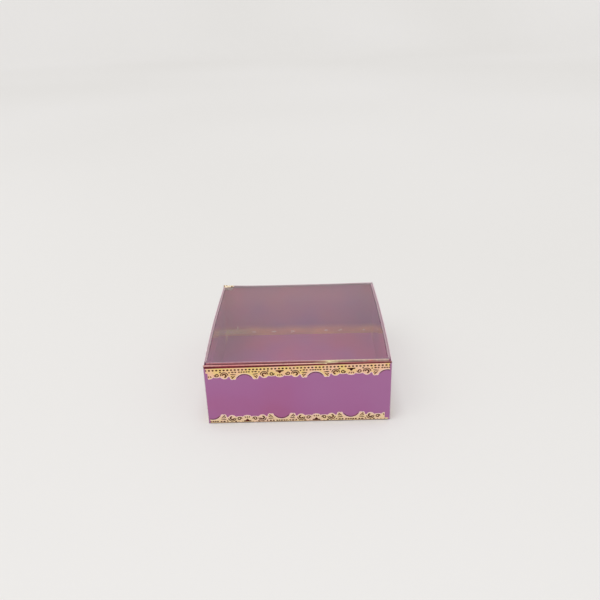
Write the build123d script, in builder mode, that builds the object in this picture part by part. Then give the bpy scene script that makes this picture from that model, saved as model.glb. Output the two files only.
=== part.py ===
from build123d import *
import math
import os

# A square gift box for sweets, folded from one die-cut blank of thin clear plastic sheet.
# The floor and the four walls are a tray, printed purple up to a clear strip at the rim.
# Each side wall ends in two tabs, which are glued inside the front and back walls.
# The clear lid is creased to the top of the back wall. Its two lips and its front flap hang
# from creases under its edges and tuck inside the walls.
# Each panel is a solid of its own: they part from each other at the folds of the blank.
# The origin is the centre of the underside, the front faces -Y and +Z is up.

# The tray, outside
box_width = 102.0
box_depth = 102.0
wall_height = 38.0

# The sheet and its folds
sheet = 0.4
inside_fold = 0.1  # inside radius of a pressed fold
crease = 0.25  # radius of the rolled crease that a lid, lip or flap turns on
crease_gap = 0.15  # between a crease and the panel that it turns beside
glue_line = 0.1

# The glued tabs at the corners
tab_width = 13.0
tab_foot = 1.2  # height of a tab's lower corner over the ground
tab_drop = 1.2  # from the rim down to a tab's upper corner
tab_taper = 2.5  # how far a tab's free end is drawn in, above and below
tab_corner = 1.5
glue_width = 8.0
glue_height = 26.0
glue_inset = 2.0  # from the corner fold to the glue

# The lid and what hangs from it
lid_gap = 0.15  # between the rim and the lid
lid_corner = 1.2
lip_depth = 10.0
lip_clearance = 0.5  # between a lip's crease and the side wall
lip_lean = 3.0  # degrees that a lip leans inward
lip_setback = 4.0  # from the front flap's crease to the end of a lip's crease
lip_miter = 45.0
lip_corner = 1.5
flap_depth = 15.0
flap_clearance = 0.35  # between the flap's crease and the glued tabs
flap_lean = 6.0
flap_inset = 2.0  # from the lid's side edge to the end of the flap's crease
flap_taper = 2.5
flap_corner = 5.0

# The gold foil lace along both edges of every wall
foil = 0.05
lace_margin = 1.9  # clear strip between the rim and the upper lace
lace_sink = 1.4  # how far the lower lace's edge line lies below the ground line
lace_inset = 1.0  # from a wall's end to the lace's end
lace_repeat = 38.8
lace_phase = 9.7  # from a wall's middle to its nearest arches: lower one way, upper the other
lace_body = 5.9  # depth of the lace without its leaves and scrolls
arch_radius = 4.7
arch_top = 3.95  # from the edge line to the top of an arch
leaf_place = 6.1  # along the wall from the middle of an arch
leaf_width = 4.0
leaf_root = 4.4  # from the edge line to where a leaf's curved sides start
leaf_tip = 7.6
leaf_bulge = 0.4  # how far each side of a leaf bows out
scroll_place = 10.9
scroll_depth = 5.0  # from the edge line to the middle of a scroll
scroll_radius = 2.35
groove_radius = 1.5
groove = 0.5  # width of the open ring that draws a scroll
groove_turn = 85.0  # degrees that the ring runs round
curl_place = 15.0
curl_depth = 5.0
curl_radius = 1.45
fan_width = 4.6
fan_root = 4.0
fan_tip = 6.8
fan_bulge = 0.2
fan_cut_width = 4.0
fan_cut_top = 2.6
fan_cut_height = 1.9

half_width = box_width / 2
half_depth = box_depth / 2
fold = inside_fold + sheet
tab_face = half_depth - sheet - glue_line  # outer face of the glued tabs
side_run = 2 * (tab_face - fold)  # flat length of a side wall between its corner folds

lid_under = wall_height + lid_gap
lid_middle = lid_under + sheet / 2
lid_hinge = half_depth - sheet / 2
crease_height = lid_under - crease_gap - crease
lip_crease = half_width - sheet - lip_clearance - crease
flap_crease = tab_face - sheet - flap_clearance - crease
lid_half = lip_crease + crease
lid_front = flap_crease + crease


def wall_plane(out_x, out_y, height=0.0):
    # The outer face of a wall: X runs along it, Y is up and Z points away from the box
    return Plane(
        origin=(out_x * half_width, out_y * half_depth, height),
        x_dir=(-out_y, out_x, 0),
        z_dir=(out_x, out_y, 0),
    )


def folded_wall(name, out_x, out_y, run, foot_run):
    # A flat wall whose lower edge turns inward over a pressed fold to meet the floor
    face = wall_plane(out_x, out_y)
    section = Plane(origin=face.origin, x_dir=face.z_dir, z_dir=-face.x_dir)
    with BuildPart() as wall:
        with BuildSketch(face):
            with Locations((0, (fold + wall_height) / 2)):
                Rectangle(run, wall_height - fold)
        extrude(amount=-sheet)
        with BuildSketch(section):
            with Locations((-fold, fold)):
                Circle(fold)
                Circle(inside_fold, mode=Mode.SUBTRACT)
            with Locations((-fold / 2, fold / 2)):
                Rectangle(fold, fold, mode=Mode.INTERSECT)
        extrude(amount=foot_run / 2, both=True)
    save(wall.part, name)


def glue_tab(name, out_x, out_y):
    # The end of a side wall: a pressed corner fold, then a tapered tab inside the next wall
    turn_x = out_x * (half_width - fold)
    turn_y = out_y * (tab_face - fold)
    tab_head = wall_height - tab_drop
    inward = out_x * out_y  # way from the fold to the tab's free end, along the wall plane
    face = Plane(origin=(turn_x, out_y * tab_face, 0), x_dir=(-out_y, 0, 0), z_dir=(0, out_y, 0))
    with BuildPart() as tab:
        with BuildSketch(Plane.XY.offset(tab_foot)):
            with Locations((turn_x, turn_y)):
                Circle(fold)
                Circle(inside_fold, mode=Mode.SUBTRACT)
            with Locations((turn_x + out_x * fold / 2, turn_y + out_y * fold / 2)):
                Rectangle(fold, fold, mode=Mode.INTERSECT)
        extrude(amount=tab_head - tab_foot)
        with BuildSketch(face) as outline:
            with BuildLine():
                Polyline(
                    (0, tab_foot),
                    (inward * tab_width, tab_foot + tab_taper),
                    (inward * tab_width, tab_head - tab_taper),
                    (0, tab_head),
                    close=True,
                )
            make_face()
            free_corners = outline.vertices().group_by(Axis.X)[-1 if inward > 0 else 0]
            fillet(free_corners, tab_corner)
        extrude(amount=-sheet)
    save(tab.part, name)


def glue_strip(name, out_x, out_y):
    # The line of glue between a tab and the wall that it is stuck to
    inward = out_x * out_y
    face = Plane(
        origin=(out_x * (half_width - fold), out_y * (half_depth - sheet), wall_height / 2),
        x_dir=(-out_y, 0, 0),
        z_dir=(0, out_y, 0),
    )
    with BuildPart() as strip:
        with BuildSketch(face):
            with Locations((inward * (glue_inset + glue_width / 2), 0)):
                Rectangle(glue_width, glue_height)
        extrude(amount=-glue_line)
    save(strip.part, name)


def petal(middle, width, root, tip, bulge):
    # A leaf or fan: two bowed sides that run from its root to its tip
    half, tall = width / 2, tip - root
    slant = math.hypot(half, tall)
    bow_out = half / 2 + bulge * tall / slant
    bow_depth = root + tall / 2 + bulge * half / slant
    with BuildSketch(mode=Mode.PRIVATE) as shape:
        with BuildLine():
            ThreePointArc((middle - half, root), (middle - bow_out, bow_depth), (middle, tip))
            ThreePointArc((middle, tip), (middle + bow_out, bow_depth), (middle + half, root))
            Line((middle + half, root), (middle - half, root))
        make_face()
    return shape.sketch


def scroll_groove(middle, side):
    # The open ring that draws a scroll, turned towards the leaf beside it
    start = 90 + side * 90 - groove_turn / 2
    with BuildSketch(mode=Mode.PRIVATE) as cut:
        with BuildLine():
            inside = CenterArc((middle, scroll_depth), groove_radius - groove / 2, start, groove_turn)
            outside = CenterArc((middle, scroll_depth), groove_radius + groove / 2, start, groove_turn)
            Line(inside @ 0, outside @ 0)
            Line(inside @ 1, outside @ 1)
        make_face()
    return cut.sketch


def fan_cut(middle):
    # The triangle that is left open in a fan
    with BuildSketch(mode=Mode.PRIVATE) as cut:
        with BuildLine():
            Polyline(
                (middle - fan_cut_width / 2, fan_cut_top),
                (middle + fan_cut_width / 2, fan_cut_top),
                (middle, fan_cut_top + fan_cut_height),
                close=True,
            )
        make_face()
    return cut.sketch


def lace_band(name, face, run, cut_edge, phase):
    # A band of foil lace: X runs along the edge line and Y is the depth from it
    reach = math.ceil(run / lace_repeat / 2) + 1
    arches = [phase + lace_repeat * turn for turn in range(-reach, reach + 1)]
    sides = [(arch, side) for arch in arches for side in (-1, 1)]
    with BuildPart() as band:
        with BuildSketch(face):
            with Locations((0, lace_body / 2)):
                Rectangle(run, lace_body)
            with Locations([(arch + side * scroll_place, scroll_depth) for arch, side in sides]):
                Circle(scroll_radius)
            with Locations([(arch + side * curl_place, curl_depth) for arch, side in sides]):
                Circle(curl_radius)
            for arch, side in sides:
                add(petal(arch + side * leaf_place, leaf_width, leaf_root, leaf_tip, leaf_bulge))
                add(scroll_groove(arch + side * scroll_place, side), mode=Mode.SUBTRACT)
            for fan in [arch + lace_repeat / 2 for arch in arches]:
                add(petal(fan, fan_width, fan_root, fan_tip, fan_bulge))
                add(fan_cut(fan), mode=Mode.SUBTRACT)
            with Locations([(arch, arch_top + arch_radius) for arch in arches]):
                Circle(arch_radius, mode=Mode.SUBTRACT)
            with Locations((0, (cut_edge + leaf_tip) / 2)):
                Rectangle(run, leaf_tip - cut_edge, mode=Mode.INTERSECT)
        extrude(amount=foil)
    save(band.part, name)


def hanging_plane(origin, along, outward, lean):
    # A flap's own plane: Y is up along it and Z points out of the box, tipped by the lean
    tilt = math.radians(lean)
    normal = Vector(*outward) * math.cos(tilt) - Vector(0, 0, 1) * math.sin(tilt)
    return Plane(origin=origin, x_dir=along, z_dir=normal)


def hanging_flap(name, face, run, depth, drawn_in, corner):
    # A rolled crease along X, and a flap that hangs from it and narrows downward
    with BuildPart() as flap:
        with BuildSketch(Plane(origin=face.origin, x_dir=face.y_dir, z_dir=face.x_dir)):
            Circle(crease)
        extrude(amount=run / 2, both=True)
        with BuildSketch(face) as outline:
            with BuildLine():
                Polyline(
                    (-run / 2, 0),
                    (-run / 2 + drawn_in, -depth),
                    (run / 2 - drawn_in, -depth),
                    (run / 2, 0),
                    close=True,
                )
            make_face()
            fillet(outline.vertices().group_by(Axis.Y)[0], corner)
        extrude(amount=sheet / 2, both=True)
    save(flap.part, name)


def save(part, name):
    part.label = name
    export_step(part, f"parts/{name}.step")


os.makedirs("parts", exist_ok=True)

# The floor, between the feet of the four walls
with BuildPart() as floor_panel:
    with BuildSketch():
        Rectangle(box_width - 2 * fold, box_depth - 2 * fold)
    extrude(amount=sheet)
save(floor_panel.part, "floor_panel")

# The walls: front and back run the full width, the side walls stop at their corner folds
folded_wall("front_wall", 0, -1, box_width, box_width - 2 * fold)
folded_wall("back_wall", 0, 1, box_width, box_width - 2 * fold)
folded_wall("left_wall", -1, 0, side_run, side_run)
folded_wall("right_wall", 1, 0, side_run, side_run)

for row, out_y in (("front", -1), ("back", 1)):
    for side, out_x in (("left", -1), ("right", 1)):
        glue_tab(f"glue_tab_{row}_{side}", out_x, out_y)
        glue_strip(f"glue_strip_{row}_{side}", out_x, out_y)

# The lace: the upper band hangs from its edge line, the lower one stands on it
upper_line = wall_height - lace_margin
for wall, out_x, out_y, run, phase in (
    ("front", 0, -1, box_width - 2 * lace_inset, -lace_phase),
    ("back", 0, 1, box_width - 2 * lace_inset, lace_phase),
    ("left", -1, 0, side_run - 2 * lace_inset, -lace_phase),
    ("right", 1, 0, side_run - 2 * lace_inset, -lace_phase),
):
    standing = wall_plane(out_x, out_y, -lace_sink)
    upright = wall_plane(out_x, out_y, upper_line)
    hanging = Plane(origin=upright.origin, x_dir=-upright.x_dir, z_dir=upright.z_dir)
    lace_band(f"lace_{wall}_lower", standing, run, lace_sink + fold, phase)
    lace_band(f"lace_{wall}_upper", hanging, run, 0, phase)

# The lid's clear window, which ends at the back in the crease that it opens on
with BuildPart() as lid_window:
    with BuildSketch(Plane.XY.offset(lid_under)) as window:
        with Locations((0, (lid_hinge - lid_front) / 2)):
            Rectangle(2 * lid_half, lid_hinge + lid_front)
        fillet(window.vertices().group_by(Axis.Y)[0], lid_corner)
    extrude(amount=sheet)
    with BuildSketch(Plane.YZ):
        with Locations((lid_hinge, lid_middle)):
            Circle(crease)
    extrude(amount=lid_half, both=True)
save(lid_window.part, "lid_window")

# The front flap and the two lips
flap_plane = hanging_plane((0, -flap_crease, crease_height), (1, 0, 0), (0, -1, 0), flap_lean)
hanging_flap("tuck_flap", flap_plane, 2 * (lid_half - flap_inset), flap_depth, flap_taper, flap_corner)

lip_run = 2 * (flap_crease - lip_setback)
lip_draw = lip_depth * math.tan(math.radians(lip_miter))
for side, out_x in (("left", -1), ("right", 1)):
    lip_plane = hanging_plane((out_x * lip_crease, 0, crease_height), (0, out_x, 0), (out_x, 0, 0), lip_lean)
    hanging_flap(f"lid_lip_{side}", lip_plane, lip_run, lip_depth, lip_draw, lip_corner)
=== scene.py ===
from functools import partial
import math

import bmesh
import bpy
from mathutils import Matrix, Vector
from mathutils.geometry import delaunay_2d_cdt


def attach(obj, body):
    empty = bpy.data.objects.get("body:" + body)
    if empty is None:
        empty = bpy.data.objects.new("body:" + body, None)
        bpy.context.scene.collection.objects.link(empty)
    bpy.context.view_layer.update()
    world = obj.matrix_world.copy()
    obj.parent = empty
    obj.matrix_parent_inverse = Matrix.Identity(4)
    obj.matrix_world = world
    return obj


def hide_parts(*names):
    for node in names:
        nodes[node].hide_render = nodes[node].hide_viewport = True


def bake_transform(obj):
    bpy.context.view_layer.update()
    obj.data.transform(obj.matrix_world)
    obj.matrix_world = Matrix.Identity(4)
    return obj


# A folded gift box of clear PVC: purple ink and gold foil lace outside, a clear lid on top.
# Lengths are in millimetres until a point is placed, and mm turns them to metres.
mm = 0.001

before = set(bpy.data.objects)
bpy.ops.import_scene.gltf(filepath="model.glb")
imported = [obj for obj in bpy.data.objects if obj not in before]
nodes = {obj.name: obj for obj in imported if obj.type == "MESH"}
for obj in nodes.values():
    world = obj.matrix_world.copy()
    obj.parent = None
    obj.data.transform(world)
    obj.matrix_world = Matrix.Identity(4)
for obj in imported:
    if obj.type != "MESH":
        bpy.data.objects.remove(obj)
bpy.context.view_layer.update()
print("frame loaded:", len(nodes), "nodes")

# The box as the CAD model has it, and the bow that this one has taken
box = {
    "half": 51.0,  # outer face of a wall
    "height": 38.0,
    "sheet": 0.4,
    "insideFold": 0.1,  # inside radius of a pressed fold
    "glueGap": 0.1,  # between a wall and the tab glued inside it
    "lidGap": 0.15,  # between the walls' top and the lid
    "crease": 0.25,  # radius of the creases that the flap and the lips turn on
    "creaseGap": 0.15,  # between such a crease and the lid
    "lipGap": 0.5,  # between a lip's crease and the side wall
    "flapGap": 0.35,  # between the flap's crease and the glued tabs
    "bow": 0.85,  # of a side wall's open edge, at its middle
    "bowHalf": 50.0,  # half the length that bows
    "footGap": 0.03,  # keeps the ink under the pressed fold off the ground
}
box["fold"] = box["sheet"] + box["insideFold"]
box["tabFace"] = box["half"] - box["sheet"] - box["glueGap"]  # outer face of a glued tab
box["lidUnder"] = box["height"] + box["lidGap"]
box["lidTop"] = box["lidUnder"] + box["sheet"]
box["hinge"] = box["half"] - box["sheet"] / 2
box["flapCrease"] = box["sheet"] + box["flapGap"] + box["crease"] - box["tabFace"]
box["lidFront"] = box["flapCrease"] - box["crease"]
box["lidHalf"] = box["half"] - box["sheet"] - box["lipGap"]
box["lipCrease"] = box["lidHalf"] - box["crease"]
box["creaseHeight"] = box["lidUnder"] - box["creaseGap"] - box["crease"]


def toLinear(hexText):
    channels = [int(hexText[i:i + 2], 16) / 255 for i in (1, 3, 5)]
    return [c / 12.92 if c <= 0.04045 else ((c + 0.055) / 1.055) ** 2.4 for c in channels] + [1.0]


def addNode(tree, kind, inputs=None, stops=None, **settings):
    # One node with its settings; an input is a value, or the output that feeds it; stops are a ramp's
    node = tree.nodes.new(kind)
    for name, value in settings.items():
        setattr(node, name, value)
    for name, value in (inputs or {}).items():
        if isinstance(value, bpy.types.NodeSocket):
            tree.links.new(value, node.inputs[name])
        else:
            node.inputs[name].default_value = value
    if stops:
        points = node.color_ramp.elements
        while len(points) < len(stops):
            points.new(0.5)
        for point, (at, colour) in zip(points, stops):
            point.position = at
            point.color = toLinear(colour)
    return node


def startMaterial(name):
    # A new material with its tree, its output and the place on the object in metres
    material = bpy.data.materials.new(name)
    material.use_nodes = True
    tree = material.node_tree
    tree.nodes.clear()
    output = addNode(tree, "ShaderNodeOutputMaterial")
    place = addNode(tree, "ShaderNodeTexCoord").outputs["Object"]
    return material, tree, output, place


# Clear PVC box sheet, calendered: glossy, nearly flat, with fine rubbing marks and a trace of haze
clearSheet = {
    "ior": 1.53,
    "roughness": 0.05,
    "through": "#fdfdfd",  # light that one face lets by
    "gloss": "#ffffff",
    "haze": 0.004,  # share of milky light in the film
    "rubbedHaze": 0.012,  # the same in a rubbing mark
    "hazeColour": "#f4f2f0",
    "markWidth": 0.5,  # real marks are 0.02 mm wide, drawn coarser so that they show
    "markDetail": 3.0,
    "markStretch": (0.05, 1.0, 1.0),  # they run mostly across the lid
    "markFrom": 0.6,  # noise at which a mark starts, and at which it is full
    "markFull": 0.8,
    "waveWidth": 14.0,  # slow unevenness of the film
    "waveDetail": 1.0,
    "waveStrength": 0.05,
    "waveDepth": 1.0,
}


def makeClearSheet(name, see):
    material, tree, output, place = startMaterial(name)
    wave = addNode(tree, "ShaderNodeTexNoise", {
        "Vector": place, "Scale": 1 / (see["waveWidth"] * mm), "Detail": see["waveDetail"],
    })
    bump = addNode(tree, "ShaderNodeBump", {
        "Height": wave.outputs["Fac"], "Strength": see["waveStrength"], "Distance": see["waveDepth"] * mm,
    })
    bare = addNode(tree, "ShaderNodeFresnel", {"IOR": see["ior"], "Normal": bump.outputs["Normal"]})
    # A flat film mirrors on both faces, 2R / (1 + R) in all, counted once where a ray enters it
    twice = addNode(tree, "ShaderNodeMath", {0: bare.outputs["Fac"], 1: 2.0}, operation="MULTIPLY")
    more = addNode(tree, "ShaderNodeMath", {0: bare.outputs["Fac"], 1: 1.0}, operation="ADD")
    both = addNode(tree, "ShaderNodeMath", {0: twice.outputs[0], 1: more.outputs[0]}, operation="DIVIDE")
    leaving = addNode(tree, "ShaderNodeNewGeometry").outputs["Backfacing"]
    entering = addNode(tree, "ShaderNodeMath", {0: 1.0, 1: leaving}, operation="SUBTRACT")
    mirrored = addNode(tree, "ShaderNodeMath", {
        0: both.outputs[0], 1: entering.outputs[0],
    }, operation="MULTIPLY")
    # The rubbing marks catch a little light
    stretched = addNode(tree, "ShaderNodeMapping", {"Vector": place, "Scale": see["markStretch"]})
    marks = addNode(tree, "ShaderNodeTexNoise", {
        "Vector": stretched.outputs["Vector"], "Scale": 1 / (see["markWidth"] * mm),
        "Detail": see["markDetail"],
    })
    rubbed = addNode(tree, "ShaderNodeMapRange", {
        "Value": marks.outputs["Fac"], "From Min": see["markFrom"], "From Max": see["markFull"],
        "To Min": see["haze"], "To Max": see["rubbedHaze"],
    })
    through = addNode(tree, "ShaderNodeBsdfTransparent", {"Color": toLinear(see["through"])})
    milk = addNode(tree, "ShaderNodeBsdfDiffuse", {"Color": toLinear(see["hazeColour"])})
    film = addNode(tree, "ShaderNodeMixShader", {
        0: rubbed.outputs["Result"], 1: through.outputs[0], 2: milk.outputs[0],
    })
    gloss = addNode(tree, "ShaderNodeBsdfGlossy", {
        "Color": toLinear(see["gloss"]), "Roughness": see["roughness"], "Normal": bump.outputs["Normal"],
    })
    surface = addNode(tree, "ShaderNodeMixShader", {
        0: mirrored.outputs[0], 1: film.outputs[0], 2: gloss.outputs[0],
    })
    tree.links.new(surface.outputs[0], output.inputs["Surface"])
    return material


# Purple screen ink on PVC: a thin even film, satin outside, with slow shifts between bluish and reddish
purpleInk = {
    "hues": [(0.36, "#ab6090"), (0.5, "#aa659a"), (0.66, "#aa6a9d")],
    "patch": 40.0,  # width of the slow changes of hue
    "patchDetail": 1.5,
    "cover": 0.93,  # how much one face of the film hides
    "roughness": 0.32,
    "ior": 1.5,
    "grain": 0.35,  # mesh of the screen, 0.15 mm in reality, drawn coarser so that it shows
    "grainDetail": 1.0,
    "grainStrength": 0.08,
    "grainDepth": 0.05,
}


def makePurpleInk(name, see):
    material, tree, output, place = startMaterial(name)
    slow = addNode(tree, "ShaderNodeTexNoise", {
        "Vector": place, "Scale": 1 / (see["patch"] * mm), "Detail": see["patchDetail"],
    })
    hue = addNode(tree, "ShaderNodeValToRGB", {"Fac": slow.outputs["Fac"]}, see["hues"])
    fine = addNode(tree, "ShaderNodeTexNoise", {
        "Vector": place, "Scale": 1 / (see["grain"] * mm), "Detail": see["grainDetail"],
    })
    bump = addNode(tree, "ShaderNodeBump", {
        "Height": fine.outputs["Fac"], "Strength": see["grainStrength"], "Distance": see["grainDepth"] * mm,
    })
    surface = addNode(tree, "ShaderNodeBsdfPrincipled", {
        "Base Color": hue.outputs["Color"], "Roughness": see["roughness"], "IOR": see["ior"],
        "Alpha": see["cover"], "Normal": bump.outputs["Normal"],
    })
    tree.links.new(surface.outputs[0], output.inputs["Surface"])
    return material


# The floor, inked under its sheet: redder, closed, and smooth enough to carry a blurred image of the walls
floorInk = {
    **purpleInk,
    "hues": [(0.36, "#b4447c"), (0.5, "#ae4686"), (0.66, "#a8488c")],
    "patch": 28.0,
    "cover": 1.0,
    "roughness": 0.45,
}

# The same ink seen from inside, through the sheet: deeper, and warm where the foil's dull back shows
inkInside = {
    "hues": [(0.36, "#b1479e"), (0.5, "#bc4b97"), (0.66, "#c54f90")],
    "patch": 26.0,
    "patchDetail": 1.5,
    "cover": 0.93,
    "roughness": 0.4,
    "ior": 1.3,
    "cornerLitInk": "#e4529a",  # painted light in the back left corner: lighter and redder, the wall lit through from outside
    "cornerLitShare": 0.75,
    "foilGlow": "#ffb68c",
    "glowLow": (-3.0, 1.2, 3.6, 9.0),  # heights between which the lower lace's glow comes and goes
    "glowHigh": (16.0, 34.0, 37.0, 39.0),
    "highShare": 0.22,  # the upper lace shows through less
    "wear": 9.0,  # width of the patches in the lower glow, which are wider along the wall
    "wearDetail": 1.5,
    "wearStretch": (0.45, 1, 1),
    "wearFrom": 0.3,  # noise at which the glow is weakest, and at which it is full
    "wearFull": 0.65,
    "wearLeast": 0.55,
    "behind": (34.0, 50.0),  # the glow stands on the back wall and dies away along the side walls
    "beside": (-24.0, -46.0),  # towards the left the corner begins
    # painted glints of the foil's back in the back left corner, over the lower lace
    "cornerGlintColour": "#ffdcb0",
    "cornerHeights": (0.6, 2.0, 4.6, 6.6),
}


def glowAt(tree, height, heights):
    # 0 below the first height, 1 between the middle two, 0 again over the last
    rise = addNode(tree, "ShaderNodeMapRange", {
        "Value": height, "From Min": heights[0] * mm, "From Max": heights[1] * mm,
    }, interpolation_type="SMOOTHSTEP")
    fall = addNode(tree, "ShaderNodeMapRange", {
        "Value": height, "From Min": heights[2] * mm, "From Max": heights[3] * mm,
        "To Min": 1.0, "To Max": 0.0,
    }, interpolation_type="SMOOTHSTEP")
    return addNode(tree, "ShaderNodeMath", {
        0: rise.outputs["Result"], 1: fall.outputs["Result"],
    }, operation="MULTIPLY").outputs[0]


def makeInkInside(name, see):
    material, tree, output, place = startMaterial(name)
    axes = addNode(tree, "ShaderNodeSeparateXYZ", {"Vector": place}).outputs
    slow = addNode(tree, "ShaderNodeTexNoise", {
        "Vector": place, "Scale": 1 / (see["patch"] * mm), "Detail": see["patchDetail"],
    })
    ink = addNode(tree, "ShaderNodeValToRGB", {"Fac": slow.outputs["Fac"]}, see["hues"])
    # How much of the foil's glow there is: patchy over the lower lace, weak under the upper one
    stretched = addNode(tree, "ShaderNodeMapping", {"Vector": place, "Scale": see["wearStretch"]})
    wear = addNode(tree, "ShaderNodeTexNoise", {
        "Vector": stretched.outputs["Vector"], "Scale": 1 / (see["wear"] * mm), "Detail": see["wearDetail"],
    })
    dappled = addNode(tree, "ShaderNodeMapRange", {
        "Value": wear.outputs["Fac"], "From Min": see["wearFrom"], "From Max": see["wearFull"],
        "To Min": see["wearLeast"],
    })
    low = addNode(tree, "ShaderNodeMath", {
        0: glowAt(tree, axes["Z"], see["glowLow"]), 1: dappled.outputs["Result"],
    }, operation="MULTIPLY")
    high = addNode(tree, "ShaderNodeMath", {
        0: glowAt(tree, axes["Z"], see["glowHigh"]), 1: see["highShare"],
    }, operation="MULTIPLY")
    both = addNode(tree, "ShaderNodeMath", {0: low.outputs[0], 1: high.outputs[0]}, operation="ADD")
    behind = addNode(tree, "ShaderNodeMapRange", {
        "Value": axes["Y"], "From Min": see["behind"][0] * mm, "From Max": see["behind"][1] * mm,
    }, interpolation_type="SMOOTHSTEP")
    share = addNode(tree, "ShaderNodeMath", {
        0: both.outputs[0], 1: behind.outputs["Result"],
    }, operation="MULTIPLY")
    # In the back left corner: painted light through the wall from outside, and painted glints of the foil
    # over the lower lace
    beside = addNode(tree, "ShaderNodeMapRange", {
        "Value": axes["X"], "From Min": see["beside"][0] * mm, "From Max": see["beside"][1] * mm,
    }, interpolation_type="SMOOTHSTEP")
    corner = addNode(tree, "ShaderNodeMath", {
        0: behind.outputs["Result"], 1: beside.outputs["Result"],
    }, operation="MULTIPLY")
    cornerLit = addNode(tree, "ShaderNodeMath", {0: corner.outputs[0], 1: see["cornerLitShare"]}, operation="MULTIPLY")
    cornerGlint = addNode(tree, "ShaderNodeMath", {
        0: corner.outputs[0], 1: glowAt(tree, axes["Z"], see["cornerHeights"]),
    }, operation="MULTIPLY")
    colour = ink.outputs["Color"]
    for amount, tint in ((cornerLit, "cornerLitInk"), (share, "foilGlow"), (cornerGlint, "cornerGlintColour")):
        colour = addNode(tree, "ShaderNodeMix", {
            0: amount.outputs[0], 6: colour, 7: toLinear(see[tint]),
        }, data_type="RGBA").outputs[2]
    surface = addNode(tree, "ShaderNodeBsdfPrincipled", {
        "Base Color": colour, "Roughness": see["roughness"], "IOR": see["ior"], "Alpha": see["cover"],
    })
    tree.links.new(surface.outputs[0], output.inputs["Surface"])
    return material


# A dark wine red, satin, covers the tuck flap and a band over the front rim.
# The brown key line is screen ink printed solid under the foil, dull and nearly black, and draws the lace's
# openings.
wineCoat = {
    "hues": [(0.35, "#5a1220"), (0.65, "#7a1c2a")],
    "patch": 16.0,
    "patchDetail": 2.0,
    "metallic": 0.0,
    "roughness": 0.4,
    "ior": 1.35,
}
keyLine = {
    "hues": [(0.4, "#3a0f0c"), (0.65, "#622412")],
    "patch": 3.0,
    "patchDetail": 1.0,
    "metallic": 0.0,
    "roughness": 0.8,
    "ior": 1.3,
}

# The back of hot-stamped foil, dull with its adhesive, made pale for the flecks of painted glint that show
# through the ink inside, where the foil catches the light.
# Over a crease the same gold carries painted glints: bright scales with brown breaks between them.
foilBackGlints = {
    "hues": [(0.35, "#ffc8b4"), (0.6, "#ffe2d4")],
    "patch": 1.2,
    "patchDetail": 2.0,
    "metallic": 0.1,
    "roughness": 0.35,
    "ior": 1.5,
}
glintedFoil = {**foilBackGlints, "hues": [(0.4, "#7a5228"), (0.46, "#ffd690"), (0.54, "#fff6e0")]}


def makeCoat(name, see):
    # A closed coat whose colour changes in patches
    material, tree, output, place = startMaterial(name)
    slow = addNode(tree, "ShaderNodeTexNoise", {
        "Vector": place, "Scale": 1 / (see["patch"] * mm), "Detail": see["patchDetail"],
    })
    hue = addNode(tree, "ShaderNodeValToRGB", {"Fac": slow.outputs["Fac"]}, see["hues"])
    surface = addNode(tree, "ShaderNodeBsdfPrincipled", {
        "Base Color": hue.outputs["Color"], "Metallic": see["metallic"],
        "Roughness": see["roughness"], "IOR": see["ior"],
    })
    tree.links.new(surface.outputs[0], output.inputs["Surface"])
    return material


# Hot-stamped foil: aluminium under yellow lacquer, bright and slightly uneven where the die pressed
goldFoil = {
    "hues": [(0.38, "#fada92"), (0.48, "#fdd49e"), (0.58, "#fed0b0")],
    "patch": 7.0,
    "patchDetail": 2.5,
    "lowReflection": "#ffecd2",  # painted reflection: towards the ground the foil takes the pink glow under the box that it mirrors
    "lowShare": 0.5,
    "lowHeights": (5.0, 30.0),
    "metallic": 1.0,
    "roughness": (0.26, 0.44),  # in the hollows of the pressing, and on its heights
    "pressWidth": 0.6,  # of the uneven spots that the die leaves
    "pressDetail": 2.0,
    "pressRange": (0.3, 0.7),
    "pressStrength": 0.25,
    "pressDepth": 0.05,
}
# Along the die's edge the foil is painted paler: a painted highlight where its raised edge catches the light
edgeHighlightFoil = {**goldFoil, "hues": [(0.0, "#ffe2da"), (1.0, "#ffe2da")], "lowReflection": "#ffe2da"}


def makeGoldFoil(name, see):
    material, tree, output, place = startMaterial(name)
    slow = addNode(tree, "ShaderNodeTexNoise", {
        "Vector": place, "Scale": 1 / (see["patch"] * mm), "Detail": see["patchDetail"],
    })
    hue = addNode(tree, "ShaderNodeValToRGB", {"Fac": slow.outputs["Fac"]}, see["hues"])
    height = addNode(tree, "ShaderNodeSeparateXYZ", {"Vector": place}).outputs["Z"]
    low = addNode(tree, "ShaderNodeMapRange", {
        "Value": height, "From Min": see["lowHeights"][0] * mm, "From Max": see["lowHeights"][1] * mm,
        "To Min": see["lowShare"], "To Max": 0.0,
    })
    tinted = addNode(tree, "ShaderNodeMix", {
        0: low.outputs["Result"], 6: hue.outputs["Color"], 7: toLinear(see["lowReflection"]),
    }, data_type="RGBA")
    pressed = addNode(tree, "ShaderNodeTexNoise", {
        "Vector": place, "Scale": 1 / (see["pressWidth"] * mm), "Detail": see["pressDetail"],
    }).outputs["Fac"]
    bump = addNode(tree, "ShaderNodeBump", {
        "Height": pressed, "Strength": see["pressStrength"], "Distance": see["pressDepth"] * mm,
    })
    rough = addNode(tree, "ShaderNodeMapRange", {
        "Value": pressed, "From Min": see["pressRange"][0], "From Max": see["pressRange"][1],
        "To Min": see["roughness"][0], "To Max": see["roughness"][1],
    })
    surface = addNode(tree, "ShaderNodeBsdfPrincipled", {
        "Base Color": tinted.outputs[2], "Metallic": see["metallic"], "Roughness": rough.outputs["Result"],
        "Normal": bump.outputs["Normal"],
    })
    tree.links.new(surface.outputs[0], output.inputs["Surface"])
    return material
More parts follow.
